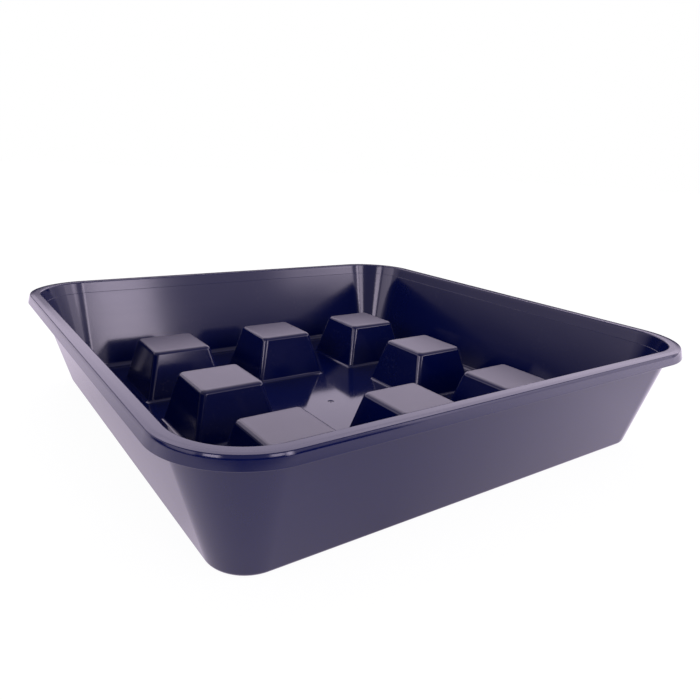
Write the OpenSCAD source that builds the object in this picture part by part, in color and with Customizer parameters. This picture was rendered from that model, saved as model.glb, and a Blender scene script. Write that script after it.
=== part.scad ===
// Square plant saucer: one dark plastic moulding with sloping walls, a turned-over rim and hollow pot rests.
// Sizes are in millimetres. The origin is the centre of the underside, and +Z points up.
// The front faces -Y and the left side faces -X.

/* [Overall] */
// Width over the outer faces of the rim
rim_w = 300; // [280:1:340]
// Height from the table to the top of the rim
height = 60; // [45:1:90]
// Width of the base, where the wall faces would meet the table
base_w = 257; // [240:1:270]
// Radius of the base's corners, seen from above
base_corner_r = 17.5; // [14:0.5:40]

/* [Wall] */
// Thickness of the wall, square to its face
wall_t = 2.6; // [2:0.1:4]
// Radius of the outer edge between the base and the wall
base_edge_r = 3; // [1:0.5:5]
// Radius of the inner fillet between the floor and the wall
floor_fillet_r = 4; // [1:0.5:7]
// Height of the thinner band at the top of the wall's inner face
shoulder_drop = 7; // [4:0.5:15]
// Depth of the step under that band
shoulder_step = 0.3; // [0.1:0.1:0.8]

/* [Rim] */
// Width of the ledge from the wall to the rim's outer face
ledge_w = 6.5; // [5:0.5:10]
// Thickness of the rim's top
rim_t = 2.4; // [1.5:0.1:4]
// Height of the rim's outer skirt, from the top
skirt_h = 5.5; // [4.5:0.5:12]
// Thickness of the skirt
skirt_t = 2.4; // [1.5:0.1:4]
// Distance by which the skirt's foot stands out beyond its top
skirt_flare = 1.4; // [0.2:0.1:2]
// Radius of the rim's outer top edge
rim_edge_r = 1.2; // [0.5:0.1:2]
// Radius of the edge at the mouth
mouth_edge_r = 0.8; // [0.2:0.1:1.5]
// Radius of the edge at the foot of the skirt
skirt_edge_r = 0.4; // [0.2:0.1:1]

/* [Floor] */
// Thickness of the floor
floor_t = 2.3; // [1.5:0.1:4]
// Diameter of the gate mark in the middle of the floor
gate_d = 4; // [1.5:0.5:8]
// Depth of the gate mark
gate_depth = 0.4; // [0.1:0.1:1]

/* [Pedestals] */
// Spacing of the pedestals, centre to centre
pedestal_pitch = 74; // [62:1:86]
// Width of a pedestal at its top, before the edges are rounded
pedestal_top_w = 35.5; // [22:0.5:41]
// Width of a pedestal at the floor
pedestal_base_w = 50; // [44:0.5:58]
// Height of the pedestal tops above the table
pedestal_h = 31; // [15:1:40]
// Thickness of a pedestal's shell
pedestal_t = 2.3; // [1.5:0.1:4]
// Radius of a pedestal's upright edges
pedestal_edge_r = 3.2; // [2:0.1:5]
// Radius of a pedestal's top edges
pedestal_top_r = 2.8; // [0.5:0.1:4]

/* [Hidden] */
// Half widths of the base and the rim, and the place of the upright axes that the corners turn about
base_half = base_w / 2;
rim_half = rim_w / 2;
corner_axis = base_half - base_corner_r;

// Heights of the rim's seat on the wall, of the inner shoulder and of the skirt's foot
seat_z = height - rim_t;
shoulder_z = height - shoulder_drop;
skirt_z = height - skirt_h;

// Angle of the skirt from upright, and the place of its sharp foot, whose rounding then ends at the rim's width
skirt_lean = atan(skirt_flare / skirt_h);
skirt_foot = rim_half + tangent_length(90 - skirt_lean, skirt_edge_r) - skirt_edge_r;

// Slope of the wall, as run for each unit of rise and as an angle from upright
wall_slope = (rim_half - ledge_w - base_half) / skirt_z;
wall_draft = atan(wall_slope);

// Level thickness of the wall, below the shoulder and above it
wall_run = wall_t / cos(wall_draft);
band_run = wall_run - shoulder_step;

// Half width of the mouth, and of the flat floor, which ends a little inside the wall's fillet
mouth_half = outer_at(height) - band_run;
fillet_margin = 1;
floor_half = inner_at(floor_t) - tangent_length(90 + wall_draft, floor_fillet_r) - fillet_margin;

// Slope of a pedestal's sides, the level thickness of its shell and the radius inside its upright edges
pedestal_rise = pedestal_h - floor_t;
pedestal_slope = (pedestal_base_w - pedestal_top_w) / 2 / pedestal_rise;
pedestal_draft = atan(pedestal_slope);
pedestal_run = pedestal_t / cos(pedestal_draft);
least_inner_r = 0.5;
pedestal_inner_r = max(pedestal_edge_r - pedestal_t, least_inner_r);

// Radius of the top edges, which stays inside the upright edges, and the half width at its centres
edge_margin = 0.2;
top_edge_r = min(pedestal_top_r, pedestal_edge_r - edge_margin);
top_centre_half = pedestal_top_w / 2 + pedestal_slope * top_edge_r - top_edge_r / cos(pedestal_draft);

// Length by which a cut runs past the face that it opens
overcut = 1;

plastic = [0.17, 0.16, 0.21];
$fn = 96;
hull_fn = 32;

// Distance of the wall's outer face from the middle at height z
function outer_at(z) = base_half + wall_slope * z;

// Distance of the wall's inner face from the middle at height z, below the shoulder
function inner_at(z) = outer_at(z) - wall_run;

// Distance of the skirt's outer face from the middle at height z
function skirt_at(z) = skirt_foot - skirt_flare * (z - skirt_z) / skirt_h;

// Half width across a pedestal's sloping sides at height z
function pedestal_half_at(z) = pedestal_top_w / 2 + pedestal_slope * (pedestal_h - z);

// Distance from a corner of the given angle to where an arc of radius r touches its sides
function tangent_length(angle, r) = r / tan(angle / 2);

// Point at a distance from p in the direction of an angle
function step_from(p, angle, distance) = p + distance * [cos(angle), sin(angle)];

// The region between the corner p, with sides in two directions, and an arc that touches both sides
module corner_region(p, from_angle, to_angle, r) {
    opening = to_angle - from_angle;
    reach = tangent_length(abs(opening), r);
    centre = step_from(p, from_angle + opening / 2, r / sin(abs(opening) / 2));
    difference() {
        polygon([p, step_from(p, from_angle, reach), step_from(p, to_angle, reach)]);
        translate(centre) circle(r);
    }
}

// Square with round corners, given by its half width
module round_square(half, r) {
    square([2 * half, 2 * (half - r)], center = true);
    square([2 * (half - r), 2 * half], center = true);
    at_corners(half - r) circle(r);
}

// Children at the four corners of a square
module at_corners(half) {
    for (x = [-half, half], y = [-half, half]) translate([x, y]) children();
}

// Children at the eight pedestal places
module at_pedestals() {
    for (column = [-1 : 1], row = [-1 : 1])
        if (column != 0 || row != 0)
            translate([column * pedestal_pitch, row * pedestal_pitch]) children();
}

// Section through the wall: distance from the middle along X, height along Y
module wall_section() {
    difference() {
        union() {
            polygon([
                [floor_half, 0], [base_half, 0],
                [outer_at(seat_z), seat_z], [outer_at(seat_z) - band_run, seat_z],
                [outer_at(shoulder_z) - band_run, shoulder_z], [inner_at(shoulder_z), shoulder_z],
                [inner_at(floor_t), floor_t], [floor_half, floor_t]
            ]);
            corner_region([inner_at(floor_t), floor_t], 90 - wall_draft, 180, floor_fillet_r);
        }
        corner_region([base_half, 0], 90 - wall_draft, 180, base_edge_r);
    }
}

// Section through the rim: a level top with a leaning skirt hanging from its outer edge
module rim_section() {
    difference() {
        polygon([
            [outer_at(seat_z) - band_run, seat_z], [skirt_at(seat_z) - skirt_t, seat_z],
            [skirt_foot - skirt_t, skirt_z], [skirt_foot, skirt_z],
            [skirt_at(height), height], [mouth_half, height]
        ]);
        corner_region([skirt_at(height), height], 180, 270 + skirt_lean, rim_edge_r);
        corner_region([skirt_foot, skirt_z], 90 + skirt_lean, 180, skirt_edge_r);
        corner_region([mouth_half, height], -90 - wall_draft, 0, mouth_edge_r);
    }
}

// A section run along one side: 0 is the right side, 90 the back, 180 the left and 270 the front
module along_side(turn) {
    rotate(turn) rotate([90, 0, 0]) linear_extrude(2 * corner_axis, center = true) children();
}

// A section turned round one corner: 0 is back right, 90 back left, 180 front left and 270 front right
module round_corner(turn) {
    rotate(turn) translate([corner_axis, corner_axis]) rotate_extrude(angle = 90) translate([-corner_axis, 0])
        children();
}

// Outside of a pedestal: upright through the floor, then tapering to a top with round edges
module pedestal_outside() {
    hull() {
        at_corners(pedestal_base_w / 2 - pedestal_edge_r)
            cylinder(h = floor_t, r = pedestal_edge_r, $fn = hull_fn);
        translate([0, 0, pedestal_h - top_edge_r])
            at_corners(top_centre_half - pedestal_edge_r + top_edge_r)
                round_button();
    }
}

// Corner of a pedestal's top: a round button whose upper edge has the top edges' radius
module round_button() {
    rotate_extrude($fn = hull_fn)
        intersection() {
            translate([pedestal_edge_r - top_edge_r, 0]) circle(top_edge_r, $fn = hull_fn / 2);
            square([pedestal_edge_r, top_edge_r]);
        }
}

// Hollow of a pedestal, open through the underside
module pedestal_hollow() {
    ceiling_z = pedestal_h - pedestal_t;
    hull() {
        translate([0, 0, -overcut])
            at_corners(pedestal_half_at(-overcut) - pedestal_run - pedestal_inner_r)
                cylinder(h = overcut, r = pedestal_inner_r, $fn = hull_fn);
        translate([0, 0, ceiling_z - overcut])
            at_corners(pedestal_half_at(ceiling_z) - pedestal_run - pedestal_inner_r)
                cylinder(h = overcut, r = pedestal_inner_r, $fn = hull_fn);
    }
}

// One pedestal at a place of the grid
module pedestal_at(column, row) {
    translate([column * pedestal_pitch, row * pedestal_pitch])
        difference() {
            pedestal_outside();
            pedestal_hollow();
        }
}

module floor_panel() {
    color(plastic)
        difference() {
            linear_extrude(floor_t)
                difference() {
                    round_square(floor_half, floor_half - corner_axis);
                    at_pedestals() round_square(pedestal_base_w / 2, pedestal_edge_r);
                }
            translate([0, 0, floor_t - gate_depth]) cylinder(h = gate_depth + overcut, d = gate_d);
        }
}

module right_wall() { color(plastic) along_side(0) wall_section(); }
module back_wall() { color(plastic) along_side(90) wall_section(); }
module left_wall() { color(plastic) along_side(180) wall_section(); }
module front_wall() { color(plastic) along_side(270) wall_section(); }

module back_right_wall_corner() { color(plastic) round_corner(0) wall_section(); }
module back_left_wall_corner() { color(plastic) round_corner(90) wall_section(); }
module front_left_wall_corner() { color(plastic) round_corner(180) wall_section(); }
module front_right_wall_corner() { color(plastic) round_corner(270) wall_section(); }

module right_rim() { color(plastic) along_side(0) rim_section(); }
module back_rim() { color(plastic) along_side(90) rim_section(); }
module left_rim() { color(plastic) along_side(180) rim_section(); }
module front_rim() { color(plastic) along_side(270) rim_section(); }

module back_right_rim_corner() { color(plastic) round_corner(0) rim_section(); }
module back_left_rim_corner() { color(plastic) round_corner(90) rim_section(); }
module front_left_rim_corner() { color(plastic) round_corner(180) rim_section(); }
module front_right_rim_corner() { color(plastic) round_corner(270) rim_section(); }

module front_left_pedestal() { color(plastic) pedestal_at(-1, -1); }
module front_pedestal() { color(plastic) pedestal_at(0, -1); }
module front_right_pedestal() { color(plastic) pedestal_at(1, -1); }
module right_pedestal() { color(plastic) pedestal_at(1, 0); }
module back_right_pedestal() { color(plastic) pedestal_at(1, 1); }
module back_pedestal() { color(plastic) pedestal_at(0, 1); }
module back_left_pedestal() { color(plastic) pedestal_at(-1, 1); }
module left_pedestal() { color(plastic) pedestal_at(-1, 0); }

floor_panel();
front_wall();
back_wall();
left_wall();
right_wall();
front_left_wall_corner();
front_right_wall_corner();
back_left_wall_corner();
back_right_wall_corner();
front_rim();
back_rim();
left_rim();
right_rim();
front_left_rim_corner();
front_right_rim_corner();
back_left_rim_corner();
back_right_rim_corner();
front_left_pedestal();
front_pedestal();
front_right_pedestal();
right_pedestal();
back_right_pedestal();
back_pedestal();
back_left_pedestal();
left_pedestal();
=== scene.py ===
"""Square plant saucer: one dark plastic moulding with sloping walls, a turned-over rim and hollow pot rests.

Lengths are in metres. The origin is the centre of the underside, +Z is up and the front faces -Y.
"""

import logging
import math
from abc import ABC, abstractmethod
from collections.abc import Iterable
from dataclasses import dataclass, field
from enum import Enum
from typing import Any, ClassVar

import bmesh
import bpy
from bmesh.types import BMEdge, BMesh, BMVert
from bpy.types import Material, Node, NodeSocket, NodeTree, Object
from mathutils import Matrix, Vector


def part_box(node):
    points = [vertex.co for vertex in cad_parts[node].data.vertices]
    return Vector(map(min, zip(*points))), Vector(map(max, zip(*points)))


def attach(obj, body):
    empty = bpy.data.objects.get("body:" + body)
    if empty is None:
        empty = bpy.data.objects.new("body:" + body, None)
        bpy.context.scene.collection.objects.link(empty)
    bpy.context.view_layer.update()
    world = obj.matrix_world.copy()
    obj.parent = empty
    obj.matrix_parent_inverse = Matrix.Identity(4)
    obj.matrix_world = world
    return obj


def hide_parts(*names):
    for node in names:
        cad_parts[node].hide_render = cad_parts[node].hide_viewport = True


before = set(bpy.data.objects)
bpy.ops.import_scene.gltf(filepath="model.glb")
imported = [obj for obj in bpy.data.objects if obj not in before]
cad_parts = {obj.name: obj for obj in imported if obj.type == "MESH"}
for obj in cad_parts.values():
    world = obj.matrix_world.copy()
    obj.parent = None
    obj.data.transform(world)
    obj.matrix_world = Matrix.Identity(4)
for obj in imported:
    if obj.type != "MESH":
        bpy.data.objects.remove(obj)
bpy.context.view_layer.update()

log = logging.getLogger("saucer")

MM = 0.001
BODY = "root"

# Edges that turn by more than this stay sharp.
SHARP_ANGLE = math.radians(40)
# Pull of the large faces on the normals beside them, in percent.
NORMAL_WEIGHT = 90

WHITE = (1.0, 1.0, 1.0)
# Colour of the light that the plastic mirrors.
LIGHT_TINT = (1.0, 0.875, 1.07)


class Side(Enum):
    """The four straight sides of the saucer."""

    FRONT = "front"
    BACK = "back"
    LEFT = "left"
    RIGHT = "right"


class CornerPlace(Enum):
    """The four round corners of the saucer."""

    FRONT_LEFT = "front_left"
    FRONT_RIGHT = "front_right"
    BACK_LEFT = "back_left"
    BACK_RIGHT = "back_right"


class RestPlace(Enum):
    """Places of the pot rests: column and row in a three by three grid whose middle stays empty."""

    FRONT_LEFT = (-1, -1)
    FRONT = (0, -1)
    FRONT_RIGHT = (1, -1)
    RIGHT = (1, 0)
    BACK_RIGHT = (1, 1)
    BACK = (0, 1)
    BACK_LEFT = (-1, 1)
    LEFT = (-1, 0)

    @property
    def node(self) -> str:
        """Name of the solid that stands at this place."""
        return f"{self.name.lower()}_pedestal"

    @property
    def piece(self) -> str:
        """Name of the modelled pot rest at this place."""
        return f"{self.name.lower()}_pot_rest"


class SeenRay(Enum):
    """Kinds of ray that see the white surroundings, by their outputs on the Light Path node."""

    CAMERA = "Is Camera Ray"
    GLOSSY = "Is Glossy Ray"
    TRANSMISSION = "Is Transmission Ray"


class MixKind(Enum):
    """What a Mix node blends: its data type, the numbers of its two inputs and that of its output."""

    VALUE = ("FLOAT", 2, 3, 0)
    COLOUR = ("RGBA", 6, 7, 2)


class Effect(Enum):
    """Effects that the finishes share, by the names of their node groups."""

    MOULD_SURFACE = "mould_surface"
    FLOW_LINES = "flow_lines"
    HANDLING = "handling"


@dataclass(frozen=True)
class Rounding:
    """The rounding of an edge.

    Attributes:
        radius: Its radius.
        steps: Number of facets across it.
    """

    radius: float
    steps: int


@dataclass(frozen=True)
class Station:
    """A level square loop with round corners, which a loft passes through.

    Attributes:
        half: Half of the square's width.
        corner: Radius of its corners, seen from above.
        height: Height of the loop.
        edge: Rounding of the edge along the loop, or None for a sharp edge.
    """

    half: float
    corner: float
    height: float
    edge: Rounding | None = None

    @property
    def axis(self) -> float:
        """Distance of the corners' upright axes from the middle, along X and along Y."""
        return self.half - self.corner

    @property
    def point(self) -> Vector:
        """The loop's place in a section through a side: distance out and height."""
        return Vector((self.half, self.height))


def each_once(items: Iterable[Any]) -> list[Any]:
    """Lists items once each in the order given, so that every run makes the same faces."""
    return list(dict.fromkeys(items))


@dataclass
class Loft:
    """A skin through level square loops with round corners, about an upright axis.

    Attributes:
        bm: Mesh that takes the skin.
        corner_steps: Number of facets round each corner.
        centre: Middle of the loops, seen from above.
    """

    bm: BMesh
    corner_steps: int
    centre: Vector = field(default_factory=Vector)

    def first_loop(self, station: Station) -> list[BMEdge]:
        """Makes a loop from a square whose corners are rounded.

        Args:
            station: Shape and height of the loop.

        Returns:
            The loop's edges.
        """
        place = Matrix.Translation((self.centre.x, self.centre.y, station.height))
        square = bmesh.ops.create_grid(self.bm, x_segments=1, y_segments=1, size=station.half, matrix=place)
        rounded = bmesh.ops.bevel(
            self.bm, geom=square["verts"], offset=station.corner, offset_type="OFFSET",
            segments=self.corner_steps, profile=0.5, affect="VERTICES", material=-1,
        )
        faces = each_once(face for vert in rounded["verts"] for face in vert.link_faces)
        edges = each_once(edge for face in faces for edge in face.edges)
        bmesh.ops.delete(self.bm, geom=faces, context="FACES_ONLY")
        return edges

    def next_loop(self, edges: list[BMEdge], old: Station, new: Station) -> list[BMEdge]:
        """Carries the skin from one loop to the next, corner by corner, so that each has its own radius.

        Args:
            edges: Edges of the loop that the skin has reached.
            old: Shape of that loop.
            new: Shape of the next loop.

        Returns:
            The edges of the next loop.
        """
        grown = bmesh.ops.extrude_edge_only(self.bm, edges=edges)["geom"]
        verts = [item for item in grown if isinstance(item, BMVert)]
        swell = new.corner / old.corner
        for right in (-1, 1):
            for back in (-1, 1):
                way = Vector((right, back, 0))
                corner = [v for v in verts if all((v.co - self.centre)[i] * way[i] > 0 for i in (0, 1))]
                pivot = self.centre + way * old.axis
                shift = way * (new.axis - old.axis) + Vector((0, 0, new.height - old.height))
                bmesh.ops.scale(
                    self.bm, vec=(swell, swell, 1), space=Matrix.Translation(-pivot), verts=corner
                )
                bmesh.ops.translate(self.bm, vec=shift, verts=corner)
        return [item for item in grown if isinstance(item, BMEdge)]

    def skin(self, stations: list[Station], closed: bool) -> None:
        """Lofts the skin through the stations, then rounds the edges along the loops.

        Args:
            stations: Loops in the order in which the skin passes them.
            closed: True if the skin runs back to the first loop, False if both ends are capped.
        """
        loops = [self.first_loop(stations[0])]
        for old, new in zip(stations, stations[1:]):
            loops.append(self.next_loop(loops[-1], old, new))
        if closed:
            bmesh.ops.bridge_loops(self.bm, edges=loops[-1] + loops[0])
        else:
            bmesh.ops.edgeloop_fill(self.bm, edges=loops[0])
            bmesh.ops.edgeloop_fill(self.bm, edges=loops[-1])
        for index, station in enumerate(stations):
            if station.edge:
                before, after = self.neighbours(stations, index, closed)
                opening = (before - station.point).angle(after - station.point)
                self.round_edge(loops[index], station.edge, opening)
        bmesh.ops.recalc_face_normals(self.bm, faces=self.bm.faces[:])

    @staticmethod
    def neighbours(stations: list[Station], index: int, closed: bool) -> tuple[Vector, Vector]:
        """Finds the section's points before and after a station.

        Args:
            stations: Loops in order.
            index: Number of the station.
            closed: True if the skin is closed, False if its ends are capped with level faces.

        Returns:
            The points before and after it, where a cap counts as a point on the axis.
        """
        cap = Vector((0, stations[index].height))
        before = stations[index - 1].point if closed or index > 0 else cap
        after = stations[(index + 1) % len(stations)].point if closed or index + 1 < len(stations) else cap
        return before, after

    def round_edge(self, edges: list[BMEdge], rounding: Rounding, opening: float) -> None:
        """Rounds the edge along a loop.

        Args:
            edges: Edges of the loop.
            rounding: Radius and facets of the rounding.
            opening: Angle between the two faces that meet there.
        """
        bmesh.ops.bevel(
            self.bm, geom=edges, offset=rounding.radius / math.tan(opening / 2), offset_type="OFFSET",
            segments=rounding.steps, profile=0.5, affect="EDGES", material=-1,
        )


@dataclass(frozen=True)
class Mark:
    """A small round mark sunk into a level face, with a nub in its middle if it has one.

    Attributes:
        x: Place along X.
        y: Place along Y.
        radius: Radius at the surface.
        depth: Depth of its floor.
        nub_radius: Radius of the nub, or 0 for none.
        nub_height: Height of the nub above the mark's floor.
    """

    x: float
    y: float
    radius: float
    depth: float
    nub_radius: float = 0.0
    nub_height: float = 0.0

    # Radius at the far end of a leaning side, as a share of that at its near end.
    DRAFT = 0.85
    # Number of facets round the mark.
    STEPS = 32

    def sink(self, bm: BMesh, rim: list[BMEdge], height: float) -> None:
        """Fills a level face that has the mark in it.

        Args:
            bm: Mesh that holds the face's outline.
            rim: Edges of the face's outline, with those of any holes.
            height: Height of the face.
        """
        centre = Vector((self.x, self.y, height))
        circle = bmesh.ops.create_circle(
            bm, segments=self.STEPS, radius=self.radius, matrix=Matrix.Translation(centre)
        )["verts"]
        edges = each_once(edge for vert in circle for edge in vert.link_edges)
        bmesh.ops.triangle_fill(bm, use_beauty=True, use_dissolve=False, edges=rim + edges)
        edges = self.step(bm, edges, centre, self.DRAFT, -self.depth)
        if self.nub_radius:
            floor_radius = self.radius * self.DRAFT
            edges = self.step(bm, edges, centre, self.nub_radius / floor_radius, 0)
            edges = self.step(bm, edges, centre, self.DRAFT, self.nub_height)
        bmesh.ops.edgeloop_fill(bm, edges=edges)

    @staticmethod
    def step(bm: BMesh, edges: list[BMEdge], centre: Vector, shrink: float, rise: float) -> list[BMEdge]:
        """Carries a round loop inwards and up or down.

        Args:
            bm: Mesh that holds the loop.
            edges: Edges of the loop.
            centre: A point on its axis.
            shrink: Factor by which it shrinks.
            rise: Distance by which it rises.

        Returns:
            The edges of the new loop.
        """
        grown = bmesh.ops.extrude_edge_only(bm, edges=edges)["geom"]
        verts = [item for item in grown if isinstance(item, BMVert)]
        bmesh.ops.scale(bm, vec=(shrink, shrink, 1), space=Matrix.Translation(-centre), verts=verts)
        bmesh.ops.translate(bm, vec=(0, 0, rise), verts=verts)
        return [item for item in grown if isinstance(item, BMEdge)]


@dataclass(frozen=True)
class Fade:
    """A steady change from one value to another, held at both ends.

    Attributes:
        start: Where the change starts.
        end: Where it ends.
        first: Value up to the start.
        last: Value from the end on.
    """

    start: float
    end: float
    first: float = 0.0
    last: float = 1.0


@dataclass(frozen=True)
class Pattern:
    """A noise pattern.

    Attributes:
        scale: Features for each unit of its coordinates.
        detail: Number of finer layers.
    """

    scale: float
    detail: float = 2.0


class NodeSheet:
    """Adds nodes to one node tree and links them."""

    def __init__(self, tree: NodeTree) -> None:
        """Takes a tree and empties it.

        Args:
            tree: Node tree of a material, a world or a node group.
        """
        self.tree = tree
        tree.nodes.clear()

    def add(self, kind: str, inputs: dict[str | int, Any] | None = None, **settings: Any) -> Node:
        """Adds a node.

        Args:
            kind: Blender's name for the kind of node.
            inputs: Values, or sockets to link from, by the name or number of the node's input.
            settings: The node's own settings.

        Returns:
            The new node.
        """
        node = self.tree.nodes.new(kind)
        for name, value in settings.items():
            setattr(node, name, value)
        for key, value in (inputs or {}).items():
            if isinstance(value, NodeSocket):
                self.tree.links.new(value, node.inputs[key])
            else:
                node.inputs[key].default_value = value
        return node

    def noise(self, where: NodeSocket, pattern: Pattern) -> NodeSocket:
        """Adds a noise texture.

        Args:
            where: Coordinates.
            pattern: Size and detail of the noise.

        Returns:
            The noise, about 0 to 1.
        """
        inputs = {"Vector": where, "Scale": pattern.scale, "Detail": pattern.detail}
        return self.add("ShaderNodeTexNoise", inputs).outputs["Fac"]

    def fade(self, value: NodeSocket, fade: Fade) -> NodeSocket:
        """Maps a value through a fade.

        Args:
            value: Value to map.
            fade: The change that it goes through.

        Returns:
            The mapped value.
        """
        inputs = {
            "Value": value, "From Min": fade.start, "From Max": fade.end,
            "To Min": fade.first, "To Max": fade.last,
        }
        return self.add("ShaderNodeMapRange", inputs).outputs["Result"]

    def math(self, operation: str, first: NodeSocket, second: NodeSocket | float) -> NodeSocket:
        """Adds a sum, product or other operation on two values.

        Args:
            operation: Blender's name for the operation.
            first: First value.
            second: Second value.

        Returns:
            The result.
        """
        return self.add("ShaderNodeMath", {0: first, 1: second}, operation=operation).outputs["Value"]

    def along(self, where: NodeSocket, way: Vector) -> NodeSocket:
        """Adds the share of a place or a direction that lies along another direction.

        Args:
            where: The place or direction.
            way: The other direction.

        Returns:
            The distance along it.
        """
        return self.add("ShaderNodeVectorMath", {0: where, 1: way}, operation="DOT_PRODUCT").outputs["Value"]

    def mix(self, kind: MixKind, share: NodeSocket, first: Any, second: Any) -> NodeSocket:
        """Blends two values or two colours.

        Args:
            kind: What is blended.
            share: Share of the second, 0 to 1.
            first: First value or colour, or a socket.
            second: Second value or colour, or a socket.

        Returns:
            The blend.
        """
        data_type, first_input, second_input, output = kind.value
        inputs = {0: share, first_input: first, second_input: second}
        return self.add("ShaderNodeMix", inputs, data_type=data_type).outputs[output]

    def mix_shader(self, share: NodeSocket, first: NodeSocket, second: NodeSocket) -> NodeSocket:
        """Blends two shaders.

        Args:
            share: Share of the second, 0 to 1.
            first: First shader.
            second: Second shader.

        Returns:
            The blend.
        """
        return self.add("ShaderNodeMixShader", {0: share, 1: first, 2: second}).outputs["Shader"]

    def rays(self, kinds: Iterable[SeenRay]) -> NodeSocket:
        """Adds a mask of some kinds of ray.

        Args:
            kinds: The kinds of ray.

        Returns:
            1 for those rays and 0 for the rest.
        """
        path = self.add("ShaderNodeLightPath")
        mask, *others = [path.outputs[kind.value] for kind in kinds]
        for other in others:
            mask = self.math("MAXIMUM", mask, other)
        return mask

    def group(self, tree: NodeTree, inputs: dict[str | int, Any]) -> NodeSocket:
        """Places a node group.

        Args:
            tree: The group.
            inputs: Values, or sockets to link from, by the name of the group's input.

        Returns:
            The group's first output.
        """
        return self.add("ShaderNodeGroup", inputs, node_tree=tree).outputs[0]


def new_group(effect: Effect, inputs: list[str], output: str) -> tuple[NodeSheet, Node, NodeSocket]:
    """Starts the node group of an effect.

    Args:
        effect: The effect.
        inputs: Names of its inputs, of which Where is a vector and the rest are numbers.
        output: Name of its output, which is a number.

    Returns:
        The group's sheet, its input node and the socket that takes its result.
    """
    tree = bpy.data.node_groups.new(effect.value, "ShaderNodeTree")
    for label in inputs:
        kind = "NodeSocketVector" if label == "Where" else "NodeSocketFloat"
        tree.interface.new_socket(label, in_out="INPUT", socket_type=kind)
    tree.interface.new_socket(output, in_out="OUTPUT", socket_type="NodeSocketFloat")
    sheet = NodeSheet(tree)
    given = sheet.add("NodeGroupInput")
    return sheet, given, sheet.add("NodeGroupOutput").inputs[output]


def mould_surface_group() -> NodeTree:
    """Makes the group for the skin that the mould leaves: a fine grain on slow waves.

    Returns:
        A group from Where, Grain and Wave, the two depths in metres, to Height.
    """
    fine = Pattern(scale=1400.0)
    slow = Pattern(scale=26.0, detail=1.0)
    sheet, given, result = new_group(Effect.MOULD_SURFACE, ["Where", "Grain", "Wave"], "Height")
    where = given.outputs["Where"]
    grain = sheet.math("MULTIPLY", sheet.noise(where, fine), given.outputs["Grain"])
    wave = sheet.math("MULTIPLY", sheet.noise(where, slow), given.outputs["Wave"])
    sheet.tree.links.new(sheet.math("ADD", grain, wave), result)
    return sheet.tree


def flow_lines_group() -> NodeTree:
    """Makes the group for the faint lines that the flowing plastic leaves, stretched along the surface.

    Returns:
        A group from Where, already stretched, to Mask.
    """
    streaks = Pattern(scale=1.0, detail=3.0)
    streaks_show = Fade(0.35, 0.75)
    sheet, given, result = new_group(Effect.FLOW_LINES, ["Where"], "Mask")
    mask = sheet.fade(sheet.noise(given.outputs["Where"], streaks), streaks_show)
    sheet.tree.links.new(mask, result)
    return sheet.tree


def handling_group() -> NodeTree:
    """Makes the group for the marks of handling: soft smudges with small scuffs in them.

    Returns:
        A group from Where and Amount to Mask.
    """
    smudges = Pattern(scale=45.0, detail=4.0)
    smudges_show = Fade(0.48, 0.72)
    scuffs = Pattern(scale=420.0, detail=3.0)
    scuffs_show = Fade(0.56, 0.70)
    sheet, given, result = new_group(Effect.HANDLING, ["Where", "Amount"], "Mask")
    where = given.outputs["Where"]
    smudge = sheet.fade(sheet.noise(where, smudges), smudges_show)
    scuff = sheet.fade(sheet.noise(where, scuffs), scuffs_show)
    mask = sheet.math("MULTIPLY", sheet.math("MULTIPLY", smudge, scuff), given.outputs["Amount"])
    sheet.tree.links.new(mask, result)
    return sheet.tree


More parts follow.
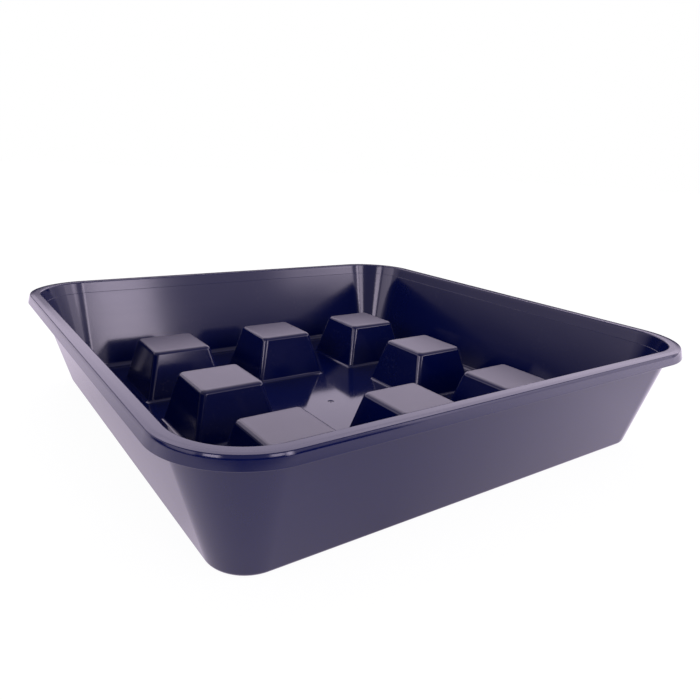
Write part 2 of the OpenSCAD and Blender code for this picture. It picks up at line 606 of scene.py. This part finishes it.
@dataclass(frozen=True)
class MouldedPlastic:
    """The saucer's plastic as one region of the mould leaves it.

    Attributes:
        name: Name of the material.
        flow: Features of the flow lines for each metre along X, Y and Z.
        handling: Amount of smudges and scuffs.
        wave: Depth of the slow waves in the surface.
        grain: Depth of the fine grain.
        base: Colour of the plastic.
        bloom_and_painted_highlight: Paler colour where the surface is scuffed, and with which the top faces
            are painted as a painted highlight.
        gloss: Roughness of the clean surface.
        haze: Roughness that flow lines and scuffs add.
        matt_and_highlight_above: Height above which the level faces are matt and carry the painted
            highlight.
        matt: Roughness that those faces have besides.
        painted_top_highlight: Share of the paler colour on those faces, a painted highlight for the light
            that the tops catch.
    """

    name: str
    flow: tuple[float, float, float]
    handling: float
    wave: float = 0.08 * MM
    grain: float = 0.002 * MM
    base: tuple[float, float, float] = (0.0, 0.003, 0.054)
    # Paler colour of real scuffs, also used for the painted highlight on the top faces.
    bloom_and_painted_highlight: tuple[float, float, float] = (0.094, 0.086, 0.130)
    gloss: float = 0.12
    haze: float = 0.04
    matt_and_highlight_above: float = 30.0 * MM
    matt: float = 0.0
    painted_top_highlight: float = 0.0

    IOR = 1.5
    # Height over which a face turns from glossy to matt, and takes on the painted highlight.
    MATT_AND_HIGHLIGHT_BLEND = 1.0 * MM
    # Share of the haze in a flow line, and of the bloom in a scuff.
    LINE_HAZE = 0.5
    SCUFF_BLOOM = 0.15
    # The surface's height is already in metres.
    BUMP_DISTANCE = 1.0

    def material(self, groups: dict[Effect, NodeTree]) -> Material:
        """Makes the material.

        Args:
            groups: The node groups of the shared effects.

        Returns:
            A node material that reads Object coordinates.
        """
        made = bpy.data.materials.new(self.name)
        made.use_nodes = True
        sheet = NodeSheet(made.node_tree)
        where = sheet.add("ShaderNodeTexCoord").outputs["Object"]
        stretched = sheet.add("ShaderNodeMapping", {"Vector": where, "Scale": self.flow}).outputs["Vector"]
        depths = {"Where": where, "Grain": self.grain, "Wave": self.wave}
        surface = sheet.group(groups[Effect.MOULD_SURFACE], depths)
        lines = sheet.group(groups[Effect.FLOW_LINES], {"Where": stretched})
        marks = sheet.group(groups[Effect.HANDLING], {"Where": where, "Amount": self.handling})
        worn = sheet.math("MAXIMUM", marks, sheet.math("MULTIPLY", lines, self.LINE_HAZE))
        height = sheet.add("ShaderNodeSeparateXYZ", {"Vector": where}).outputs["Z"]
        level = sheet.fade(height, Fade(self.matt_and_highlight_above, self.matt_and_highlight_above + self.MATT_AND_HIGHLIGHT_BLEND))
        hazy = sheet.fade(worn, Fade(0.0, 1.0, self.gloss, self.gloss + self.haze))
        rough = sheet.math("ADD", hazy, sheet.math("MULTIPLY", level, self.matt))
        scuffed = sheet.math("MULTIPLY", marks, self.SCUFF_BLOOM)
        # Painted highlight: the level top faces are painted paler for the light they catch; the scuffs are
        # real wear.
        scuffs_and_painted_highlight = sheet.math("MAXIMUM", scuffed, sheet.math("MULTIPLY", level, self.painted_top_highlight))
        colour = sheet.mix(MixKind.COLOUR, scuffs_and_painted_highlight, (*self.base, 1), (*self.bloom_and_painted_highlight, 1))
        bump = sheet.add("ShaderNodeBump", {"Height": surface, "Distance": self.BUMP_DISTANCE})
        shader = sheet.add(
            "ShaderNodeBsdfPrincipled",
            {"Base Color": colour, "Roughness": rough, "IOR": self.IOR, "Normal": bump.outputs["Normal"]},
        )
        sheet.add("ShaderNodeOutputMaterial", {"Surface": shader.outputs["BSDF"]})
        return made


SIDE_PLASTIC = MouldedPlastic("side_plastic", flow=(6, 6, 300), handling=0.5)
# The pot rests' tops are matt and painted paler as a painted highlight.
REST_PLASTIC = MouldedPlastic("pot_rest_plastic", flow=(60, 60, 120), handling=1.0, matt=0.22, painted_top_highlight=1.0)
FLOOR_PLASTIC = MouldedPlastic("floor_plastic", flow=(25, 25, 100), handling=0.7, gloss=0.08)


@dataclass(frozen=True)
class MouldSizes:
    """Sizes that several pieces share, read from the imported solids.

    Attributes:
        corner_axis: Distance of the corners' upright axes from the middle.
        rim_half: Half of the width over the rim.
        height: Height of the rim's top.
        skirt_z: Height of the skirt's foot.
        seat_z: Height of the wall's top, where the rim sits.
        wall_out: Distance of the wall's outer face from the middle at the seat.
        wall_in: Distance of its inner face from the middle at the seat.
        floor_half: Half of the width of the flat floor.
        floor_t: Thickness of the floor.
        base_half: Half of the width where the wall's outer faces would meet the table.
        corner_steps: Number of facets round each corner of the saucer.
    """

    corner_axis: float
    rim_half: float
    height: float
    skirt_z: float
    seat_z: float
    wall_out: float
    wall_in: float
    floor_half: float
    floor_t: float
    base_half: float = 128.5 * MM
    corner_steps: int = 40

    @classmethod
    def from_frame(cls) -> "MouldSizes":
        """Reads the sizes from the boxes of the front rim, the front wall and the floor.

        Returns:
            The sizes.
        """
        rim_low, rim_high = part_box(f"{Side.FRONT.value}_rim")
        wall_low, wall_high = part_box(f"{Side.FRONT.value}_wall")
        floor_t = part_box("floor_panel")[1].z
        return cls(
            corner_axis=rim_high.x, rim_half=-rim_low.y, height=rim_high.z, skirt_z=rim_low.z,
            seat_z=wall_high.z, wall_out=-wall_low.y, wall_in=-rim_high.y,
            floor_half=-wall_high.y, floor_t=floor_t,
        )

    @property
    def slope(self) -> float:
        """Run of the wall for each unit of rise."""
        return (self.wall_out - self.base_half) / self.seat_z

    def outer_at(self, z: float) -> float:
        """Distance of the wall's outer face from the middle at a height."""
        return self.base_half + self.slope * z

    def loop(self, out: float, height: float, edge: Rounding | None = None) -> Station:
        """Makes a loop that runs round the saucer.

        Args:
            out: Distance from the middle to the sides.
            height: Height of the loop.
            edge: Rounding of the edge along it, or None for a sharp edge.

        Returns:
            A loop whose corners turn about the shared axes.
        """
        return Station(out, out - self.corner_axis, height, edge)


def finish_piece(bm: BMesh, name: str, nodes: list[str], material: Material) -> Object:
    """Turns a mesh into a finished piece that rides on the saucer and stands for its solids.

    Args:
        bm: Finished mesh, which is freed.
        name: Name of the piece.
        nodes: Names of the solids that it stands for.
        material: Its finish.

    Returns:
        The piece.
    """
    mesh = bpy.data.meshes.new(name)
    bm.to_mesh(mesh)
    bm.free()
    mesh.shade_smooth()
    mesh.set_sharp_from_angle(angle=SHARP_ANGLE)
    mesh.materials.append(material)
    piece = bpy.data.objects.new(name, mesh)
    bpy.context.scene.collection.objects.link(piece)
    normals = piece.modifiers.new("flat_faces_stay_flat", "WEIGHTED_NORMAL")
    normals.mode = "FACE_AREA"
    normals.weight = NORMAL_WEIGHT
    normals.keep_sharp = True
    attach(piece, BODY)
    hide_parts(*nodes)
    log.info("%s: %d faces, stands for %s", name, len(mesh.polygons), ", ".join(nodes))
    return piece


@dataclass
class Ring(ABC):
    """A piece that runs round the saucer, with four straight sides and four round corners.

    Attributes:
        sizes: Sizes shared with the other pieces.
    """

    sizes: MouldSizes

    # What the piece is called in the names of its solids.
    KIND: ClassVar[str]

    @abstractmethod
    def stations(self) -> list[Station]:
        """Lists the loops round the piece's section.

        Returns:
            The loops in order.
        """

    def build(self, material: Material) -> Object:
        """Builds the piece.

        Args:
            material: Its finish.

        Returns:
            The finished piece.
        """
        bm = bmesh.new()
        Loft(bm, self.sizes.corner_steps).skin(self.stations(), closed=True)
        nodes = [f"{side.value}_{self.KIND}" for side in Side]
        nodes += [f"{place.value}_{self.KIND}_corner" for place in CornerPlace]
        return finish_piece(bm, f"{self.KIND}_ring", nodes, material)


@dataclass
class Rim(Ring):
    """The turned-over rim: a level top that falls a little to its outer edge, with a leaning skirt below.

    Attributes:
        skirt_t: Thickness of the skirt.
        skirt_flare: Distance by which the skirt leans out, from the level of the rim's top to its foot.
        foot_overhang: Width at the skirt's foot that the rounding of its edge takes off again.
        brow_h: Height of the brow, the band at the top of the skirt that leans in more.
        brow_run: Distance by which the brow leans in.
        fall_w: Width of the outer strip of the top, which falls.
        fall_h: Distance by which it falls.
        brow_crease: Rounding between the skirt and the brow.
        fall_crease: Rounding between the level top and its falling strip.
        outer_edge: Rounding of the top's outer edge.
        mouth_edge: Rounding of the top's inner edge.
        skirt_edge: Rounding of the outer edge of the skirt's foot.
        inside_edge: Rounding of the edges behind the skirt.
    """

    skirt_t: float = 2.4 * MM
    skirt_flare: float = 1.4 * MM
    foot_overhang: float = 0.11 * MM
    brow_h: float = 1.35 * MM
    brow_run: float = 0.5 * MM
    fall_w: float = 2.2 * MM
    fall_h: float = 0.18 * MM
    brow_crease: Rounding = Rounding(5.0 * MM, 5)
    fall_crease: Rounding = Rounding(15.0 * MM, 5)
    outer_edge: Rounding = Rounding(0.5 * MM, 8)
    mouth_edge: Rounding = Rounding(0.8 * MM, 5)
    skirt_edge: Rounding = Rounding(0.4 * MM, 5)
    inside_edge: Rounding = Rounding(0.3 * MM, 3)

    KIND = "rim"

    def skirt_at(self, z: float) -> float:
        """Finds the skirt's outer face.

        Args:
            z: Height.

        Returns:
            The distance of the face from the middle at that height.
        """
        size = self.sizes
        share = (z - size.skirt_z) / (size.height - size.skirt_z)
        return size.rim_half + self.foot_overhang - self.skirt_flare * share

    def stations(self) -> list[Station]:
        """Lists the loops round the rim's section, from the seat out and back over the top.

        Returns:
            The loops in order.
        """
        size = self.sizes
        foot = self.skirt_at(size.skirt_z)
        brow_z = size.height - self.brow_h
        edge = self.skirt_at(brow_z) - self.brow_run
        mouth = size.wall_in + size.slope * (size.height - size.seat_z)
        return [
            size.loop(size.wall_in, size.seat_z),
            size.loop(self.skirt_at(size.seat_z) - self.skirt_t, size.seat_z, self.inside_edge),
            size.loop(foot - self.skirt_t, size.skirt_z, self.inside_edge),
            size.loop(foot, size.skirt_z, self.skirt_edge),
            size.loop(self.skirt_at(brow_z), brow_z, self.brow_crease),
            size.loop(edge, size.height - self.fall_h, self.outer_edge),
            size.loop(edge - self.fall_w, size.height, self.fall_crease),
            size.loop(mouth, size.height, self.mouth_edge),
        ]


@dataclass
class Wall(Ring):
    """The sloping wall, from the edge of the flat floor up to the rim's seat.

    Attributes:
        shoulder_drop: Depth below the rim's top of the shoulder, where the wall grows thicker inwards.
        shoulder_step: Width of the shoulder.
        shoulder_edge: Rounding of the shoulder's two edges.
        base_edge: Rounding between the outer face and the underside.
        floor_fillet: Fillet between the inner face and the floor.
    """

    shoulder_drop: float = 7.0 * MM
    shoulder_step: float = 0.3 * MM
    shoulder_edge: Rounding = Rounding(0.12 * MM, 2)
    base_edge: Rounding = Rounding(3.0 * MM, 8)
    floor_fillet: Rounding = Rounding(4.0 * MM, 10)

    KIND = "wall"

    def stations(self) -> list[Station]:
        """Lists the loops round the wall's section, from the underside up the outside and down the inside.

        Returns:
            The loops in order.
        """
        size = self.sizes
        band_run = size.wall_out - size.wall_in
        wall_run = band_run + self.shoulder_step
        shoulder_z = size.height - self.shoulder_drop
        shoulder = size.outer_at(shoulder_z)
        return [
            size.loop(size.floor_half, 0),
            size.loop(size.base_half, 0, self.base_edge),
            size.loop(size.wall_out, size.seat_z),
            size.loop(size.wall_in, size.seat_z),
            size.loop(shoulder - band_run, shoulder_z, self.shoulder_edge),
            size.loop(shoulder - wall_run, shoulder_z, self.shoulder_edge),
            size.loop(size.outer_at(size.floor_t) - wall_run, size.floor_t, self.floor_fillet),
            size.loop(size.floor_half, size.floor_t),
        ]


@dataclass
class PotRest:
    """A hollow pot rest: a tapering square block on a narrow margin of the floor, open underneath.

    Attributes:
        sizes: Sizes shared with the other pieces.
        place: Its place in the grid.
        mark: A mark in its top, or None.
        top_half: Half of its width where its sides would meet the top.
        shell_t: Thickness of its shell.
        floor_margin: Width of the floor's margin round its foot.
        upright_edge_r: Radius of its four upright edges.
        top_edge: Rounding between its sides and its top.
        foot_fillet: Fillet between its sides and the floor.
        inner_edge: Rounding of all the edges inside the hollow.
        mouth_edge: Rounding where the hollow meets the underside.
        corner_steps: Number of facets round each corner.
    """

    sizes: MouldSizes
    place: RestPlace
    mark: Mark | None = None
    top_half: float = 17.75 * MM
    shell_t: float = 2.3 * MM
    floor_margin: float = 2.6 * MM
    upright_edge_r: float = 3.2 * MM
    top_edge: Rounding = Rounding(2.8 * MM, 8)
    foot_fillet: Rounding = Rounding(2.2 * MM, 8)
    inner_edge: Rounding = Rounding(0.9 * MM, 4)
    mouth_edge: Rounding = Rounding(0.4 * MM, 3)
    corner_steps: int = 8

    @property
    def centre(self) -> Vector:
        """Middle of the pot rest, seen from above."""
        low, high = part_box(self.place.node)
        return Vector(((low.x + high.x) / 2, (low.y + high.y) / 2, 0))

    @property
    def base_half(self) -> float:
        """Half of its width where its sides would meet the floor."""
        low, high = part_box(self.place.node)
        return (high.x - low.x) / 2

    @property
    def top_z(self) -> float:
        """Height of its top."""
        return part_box(self.place.node)[1].z

    def margin(self, height: float) -> Station:
        """Finds the outline of the floor's margin round its foot.

        Args:
            height: Height of the outline.

        Returns:
            The loop along which the pot rest meets the floor.
        """
        return Station(self.base_half + self.floor_margin, self.upright_edge_r + self.floor_margin, height)

    def stations(self) -> list[Station]:
        """Lists the loops from the ceiling of the hollow down, round the margin and up to the top.

        Returns:
            The loops in order.
        """
        floor_t = self.sizes.floor_t
        slope = (self.base_half - self.top_half) / (self.top_z - floor_t)
        shell_run = self.shell_t * math.hypot(1, slope)
        ceiling = self.top_z - self.shell_t
        hollow_top = self.top_half + slope * self.shell_t - shell_run
        hollow_mouth = self.top_half + slope * self.top_z - shell_run
        return [
            Station(hollow_top, self.inner_edge.radius, ceiling, self.inner_edge),
            Station(hollow_mouth, self.inner_edge.radius, 0, self.mouth_edge),
            self.margin(0),
            self.margin(floor_t),
            Station(self.base_half, self.upright_edge_r, floor_t, self.foot_fillet),
            Station(self.top_half, self.upright_edge_r, self.top_z, self.top_edge),
        ]

    def build(self, material: Material) -> Object:
        """Builds the pot rest.

        Args:
            material: Its finish.

        Returns:
            The finished piece.
        """
        bm = bmesh.new()
        Loft(bm, self.corner_steps, self.centre).skin(self.stations(), closed=False)
        if self.mark:
            top = max(bm.faces, key=lambda face: face.calc_center_median().z)
            outline = top.edges[:]
            bmesh.ops.delete(bm, geom=[top], context="FACES_ONLY")
            self.mark.sink(bm, outline, self.top_z)
            bmesh.ops.recalc_face_normals(bm, faces=bm.faces[:])
        return finish_piece(bm, self.place.piece, [self.place.node], material)


@dataclass
class Floor:
    """The flat floor, with openings for the pot rests and the gate mark in its middle.

    Attributes:
        sizes: Sizes shared with the other pieces.
        rests: The pot rests that stand in its openings.
        gate: The mark that the mould's gate leaves.
    """

    sizes: MouldSizes
    rests: list[PotRest]
    gate: Mark = Mark(
        x=0, y=0, radius=2.0 * MM, depth=0.4 * MM, nub_radius=0.6 * MM, nub_height=0.3 * MM
    )

    def build(self, material: Material) -> Object:
        """Builds the floor.

        Args:
            material: Its finish.

        Returns:
            The finished piece.
        """
        bm = bmesh.new()
        size = self.sizes
        top: list[BMEdge] = []
        bottom: list[BMEdge] = []
        lofts = [(Loft(bm, size.corner_steps), size.loop(size.floor_half, size.floor_t))]
        for rest in self.rests:
            lofts.append((Loft(bm, rest.corner_steps, rest.centre), rest.margin(size.floor_t)))
        for loft, station in lofts:
            loop = loft.first_loop(station)
            top += loop
            bottom += loft.next_loop(loop, station, Station(station.half, station.corner, 0))
        bmesh.ops.triangle_fill(bm, use_beauty=True, use_dissolve=False, edges=bottom)
        self.gate.sink(bm, top, size.floor_t)
        bmesh.ops.recalc_face_normals(bm, faces=bm.faces[:])
        return finish_piece(bm, "floor_plate", ["floor_panel"], material)


@dataclass(frozen=True)
class ViewPoint:
    """Where the camera stands and how it is turned.

    Attributes:
        position: Place of the camera.
        azimuth: Angle of the view from that on the front, clockwise seen from above if negative.
        elevation: Angle by which it looks down.
        roll: Angle by which it is turned about its view.
        lens_mm: Focal length in millimetres.
        sensor_mm: Width of the sensor in millimetres.
    """

    position: tuple[float, float, float] = (-0.2038, -0.3018, 0.1476)
    azimuth: float = math.radians(-35.676)
    elevation: float = math.radians(16.940)
    roll: float = math.radians(2.898)
    lens_mm: float = 31.82
    sensor_mm: float = 36.0

    CLIP_START = 0.01

    @property
    def toward(self) -> Vector:
        """Level direction from the saucer to the camera's side."""
        return Vector((math.sin(self.azimuth), -math.cos(self.azimuth), 0))

    @property
    def right(self) -> Vector:
        """Level direction to the camera's right."""
        return Vector((math.cos(self.azimuth), math.sin(self.azimuth), 0))

    def place_camera(self) -> None:
        """Makes the scene's camera."""
        back = self.toward * math.cos(self.elevation) + Vector((0, 0, math.sin(self.elevation)))
        level = Matrix((self.right, back.cross(self.right), back)).transposed()
        turned = level @ Matrix.Rotation(self.roll, 3, "Z")
        data = bpy.data.cameras.new("camera")
        data.lens = self.lens_mm
        data.sensor_width = self.sensor_mm
        data.clip_start = self.CLIP_START
        camera = bpy.data.objects.new("camera", data)
        camera.matrix_world = Matrix.Translation(self.position) @ turned.to_4x4()
        bpy.context.scene.collection.objects.link(camera)
        bpy.context.scene.camera = camera


@dataclass(frozen=True)
class SoftBox:
    """A soft box that faces the saucer from afar.

    Attributes:
        name: Name of the lamp.
        azimuth: Direction to the lamp in degrees, from the front round to the left.
        elevation: Its direction above the table in degrees.
        width: Angle in degrees that it spans from side to side.
        height: Angle in degrees that it spans from top to bottom.
        radiance: Brightness of its face, where 1 is white.
    """

    name: str
    azimuth: float
    elevation: float
    width: float
    height: float
    radiance: float

    DISTANCE = 5.0

    def span(self, angle: float) -> float:
        """Length that spans an angle, in degrees, at the lamp's distance."""
        return 2 * self.DISTANCE * math.tan(math.radians(angle) / 2)

    def place(self) -> None:
        """Makes the lamp."""
        az, el = math.radians(self.azimuth), math.radians(self.elevation)
        way = Vector((-math.sin(az) * math.cos(el), -math.cos(az) * math.cos(el), math.sin(el)))
        lamp = bpy.data.lights.new(self.name, "AREA")
        lamp.shape = "RECTANGLE"
        lamp.size = self.span(self.width)
        lamp.size_y = self.span(self.height)
        lamp.color = LIGHT_TINT
        lamp.energy = self.radiance * math.pi * lamp.size * lamp.size_y
        stand = bpy.data.objects.new(self.name, lamp)
        turn = way.to_track_quat("Z", "Y").to_matrix().to_4x4()
        stand.matrix_world = Matrix.Translation(way * self.DISTANCE) @ turn
        bpy.context.scene.collection.objects.link(stand)


@dataclass(frozen=True)
class PaperFloor:
    """White paper under the saucer, which shows from above only.

    The brightness that the plastic mirrors in it changes toward the camera and from the camera's left to its
    right. Those fades are distances from the saucer's middle.

    Attributes:
        half: Half of its width.
        gap: Gap between it and the saucer.
        paper: Colour in which it takes light and shade.
        glow: Share of its look that is its own light.
        seen: Brightness of that light to the camera.
        across: Brightness that the plastic mirrors, from left to right.
        ahead: Share of it that is left, toward the camera.
        left: What is added on the left.
        right: What is added far to the right.
        patch_ahead: What a patch before the near corner adds, toward the camera.
        patch_across: Share of the patch, from left to right.
    """

    half: float = 6.0
    gap: float = 0.1 * MM
    paper: tuple[float, float, float] = (0.9, 0.9, 0.9)
    glow: float = 0.88
    seen: float = 1.08
    across: Fade = Fade(0.03, 0.20, 0.78, 1.4)
    ahead: Fade = Fade(0.25, 0.45, 1.0, 0.5)
    left: Fade = Fade(-0.32, -0.15, 0.6, 0.0)
    right: Fade = Fade(0.6, 1.6, 0.0, 1.3)
    patch_ahead: Fade = Fade(0.14, 0.18, 0.0, 0.35)
    patch_across: Fade = Fade(0.03, 0.09, 1.0, 0.0)

    def mirrored(self, sheet: NodeSheet, view: ViewPoint) -> NodeSocket:
        """Adds the brightness that the plastic mirrors in the paper.

        Args:
            sheet: Sheet that takes the nodes.
            view: Where the camera stands.

        Returns:
            The brightness.
        """
        where = sheet.add("ShaderNodeTexCoord").outputs["Object"]
        toward = sheet.along(where, view.toward)
        aside = sheet.along(where, view.right)
        sides = sheet.math("ADD", sheet.fade(aside, self.left), sheet.fade(aside, self.right))
        middle = sheet.math("MULTIPLY", sheet.fade(aside, self.across), sheet.fade(toward, self.ahead))
        patch = sheet.math(
            "MULTIPLY", sheet.fade(toward, self.patch_ahead), sheet.fade(aside, self.patch_across)
        )
        return sheet.math("ADD", sheet.math("ADD", sides, middle), patch)

    def material(self, view: ViewPoint) -> Material:
        """Makes the paper's material.

        Args:
            view: Where the camera stands.

        Returns:
            The material.
        """
        made = bpy.data.materials.new("studio_floor")
        made.use_nodes = True
        sheet = NodeSheet(made.node_tree)
        glossy = sheet.rays([SeenRay.GLOSSY])
        strength = sheet.mix(MixKind.VALUE, glossy, self.seen, self.mirrored(sheet, view))
        tint = sheet.mix(MixKind.COLOUR, glossy, (*WHITE, 1), (*LIGHT_TINT, 1))
        paper = sheet.add("ShaderNodeBsdfDiffuse", {"Color": (*self.paper, 1)}).outputs["BSDF"]
        light = sheet.add("ShaderNodeEmission", {"Color": tint, "Strength": strength}).outputs["Emission"]
        lit = sheet.mix_shader(sheet.math("MULTIPLY", sheet.rays(SeenRay), self.glow), paper, light)
        clear = sheet.add("ShaderNodeBsdfTransparent").outputs["BSDF"]
        under = sheet.add("ShaderNodeNewGeometry").outputs["Backfacing"]
        sheet.add("ShaderNodeOutputMaterial", {"Surface": sheet.mix_shader(under, lit, clear)})
        return made

    def lay(self, view: ViewPoint) -> None:
        """Lays the paper.

        Args:
            view: Where the camera stands.
        """
        bm = bmesh.new()
        place = Matrix.Translation((0, 0, -self.gap))
        bmesh.ops.create_grid(bm, x_segments=1, y_segments=1, size=self.half, matrix=place)
        mesh = bpy.data.meshes.new("studio_floor")
        bm.to_mesh(mesh)
        bm.free()
        mesh.materials.append(self.material(view))
        floor = bpy.data.objects.new("studio_floor", mesh)
        bpy.context.scene.collection.objects.link(floor)


@dataclass(frozen=True)
class Surroundings:
    """White surroundings, in which the plastic mirrors brighter and dimmer parts.

    A direction is given by its share toward the camera and its share upwards, each from -1 to 1.

    Attributes:
        lit: Brightness with which they light the scene.
        seen: Brightness to the camera.
        behind: Mask of the side beyond the saucer, toward the camera.
        ahead: Mask of the camera's side, toward the camera.
        rise_beside: Brightness that the plastic mirrors at the sides, upwards.
        rise_behind: The same beyond the saucer.
        rise_ahead: The same on the camera's side.
        overhead: Share of it that is left, upwards.
        near: Share of it that is left, toward the camera.
        skyline: Brightness of a strip along the horizon, upwards.
    """

    lit: float = 0.5
    seen: float = 1.0
    behind: Fade = Fade(-0.6, -0.3, 1.0, 0.0)
    ahead: Fade = Fade(0.2, 0.45)
    rise_beside: Fade = Fade(0.14, 0.27, 0.0, 1.35)
    rise_behind: Fade = Fade(0.21, 0.25, 0.05, 1.38)
    rise_ahead: Fade = Fade(0.19, 0.27, 0.0, 1.35)
    overhead: Fade = Fade(0.42, 0.62, 1.0, 0.3)
    near: Fade = Fade(0.3, 0.9, 1.0, 0.3)
    skyline: Fade = Fade(0.0, 0.06, 0.36, 0.0)

    def mirrored(self, sheet: NodeSheet, view: ViewPoint) -> NodeSocket:
        """Adds the brightness that the plastic mirrors in the surroundings.

        Args:
            sheet: Sheet that takes the nodes.
            view: Where the camera stands.

        Returns:
            The brightness.
        """
        way = sheet.add("ShaderNodeTexCoord").outputs["Generated"]
        toward = sheet.along(way, view.toward)
        up = sheet.add("ShaderNodeSeparateXYZ", {"Vector": way}).outputs["Z"]
        beside, behind, ahead = [
            sheet.fade(up, rise) for rise in (self.rise_beside, self.rise_behind, self.rise_ahead)
        ]
        around = sheet.mix(MixKind.VALUE, sheet.fade(toward, self.behind), beside, behind)
        rising = sheet.mix(MixKind.VALUE, sheet.fade(toward, self.ahead), around, ahead)
        dome = sheet.math("MULTIPLY", rising, sheet.fade(up, self.overhead))
        dimmed = sheet.math("MULTIPLY", dome, sheet.fade(toward, self.near))
        return sheet.math("MAXIMUM", sheet.fade(up, self.skyline), dimmed)

    def light(self, view: ViewPoint) -> None:
        """Makes the scene's world.

        Args:
            view: Where the camera stands.
        """
        world = bpy.data.worlds.new("studio")
        world.use_nodes = True
        sheet = NodeSheet(world.node_tree)
        glossy = sheet.rays([SeenRay.GLOSSY])
        shown = sheet.mix(MixKind.VALUE, glossy, self.seen, self.mirrored(sheet, view))
        strength = sheet.mix(MixKind.VALUE, sheet.rays(SeenRay), self.lit, shown)
        tint = sheet.mix(MixKind.COLOUR, glossy, (*WHITE, 1), (*LIGHT_TINT, 1))
        light = sheet.add("ShaderNodeBackground", {"Color": tint, "Strength": strength})
        sheet.add("ShaderNodeOutputWorld", {"Surface": light.outputs["Background"]})
        bpy.context.scene.world = world


@dataclass(frozen=True)
class Studio:
    """The camera, with a white floor, white surroundings and soft boxes.

    Attributes:
        view: Where the camera stands.
        floor: The floor.
        surroundings: The surroundings.
        boxes: The soft boxes.
    """

    view: ViewPoint = ViewPoint()
    floor: PaperFloor = PaperFloor()
    surroundings: Surroundings = Surroundings()
    boxes: tuple[SoftBox, ...] = (
        SoftBox("back_panel", azimuth=-147, elevation=23.5, width=75, height=19, radiance=0.45),
        SoftBox("back_high_panel", azimuth=-150, elevation=45, width=70, height=26, radiance=1.3),
        SoftBox("right_panel", azimuth=-85, elevation=11, width=47, height=21, radiance=0.9),
        SoftBox("front_right_box", azimuth=-49, elevation=12, width=25, height=26, radiance=1.9),
        SoftBox("front_right_window", azimuth=-37, elevation=18.8, width=11, height=5.4, radiance=2.8),
        SoftBox("front_window", azimuth=-14.4, elevation=18, width=6, height=22, radiance=7.0),
        SoftBox("front_panel", azimuth=-2, elevation=20, width=13, height=12, radiance=4.8),
        SoftBox("left_window", azimuth=62, elevation=19, width=15, height=10, radiance=6.0),
        SoftBox("left_panel", azimuth=97, elevation=17, width=36, height=18, radiance=1.4),
    )

    def build(self) -> None:
        """Sets up the camera, the floor and the light."""
        self.view.place_camera()
        self.floor.lay(self.view)
        self.surroundings.light(self.view)
        for box in self.boxes:
            box.place()
        bpy.context.scene.view_settings.view_transform = "Standard"


def main() -> None:
    """Builds the studio and the saucer's pieces, and reports each."""
    logging.basicConfig(level=logging.INFO, format="%(message)s")
    Studio().build()
    sizes = MouldSizes.from_frame()
    groups = {
        Effect.MOULD_SURFACE: mould_surface_group(),
        Effect.FLOW_LINES: flow_lines_group(),
        Effect.HANDLING: handling_group(),
    }
    side_finish = SIDE_PLASTIC.material(groups)
    rest_finish = REST_PLASTIC.material(groups)
    floor_finish = FLOOR_PLASTIC.material(groups)
    Rim(sizes).build(side_finish)
    Wall(sizes).build(side_finish)
    speck = Mark(x=13.8 * MM, y=75.0 * MM, radius=0.8 * MM, depth=0.3 * MM)
    rests = [PotRest(sizes, place, speck if place is RestPlace.BACK else None) for place in RestPlace]
    for rest in rests:
        rest.build(rest_finish)
    Floor(sizes, rests).build(floor_finish)


if __name__ == "__main__":
    main()
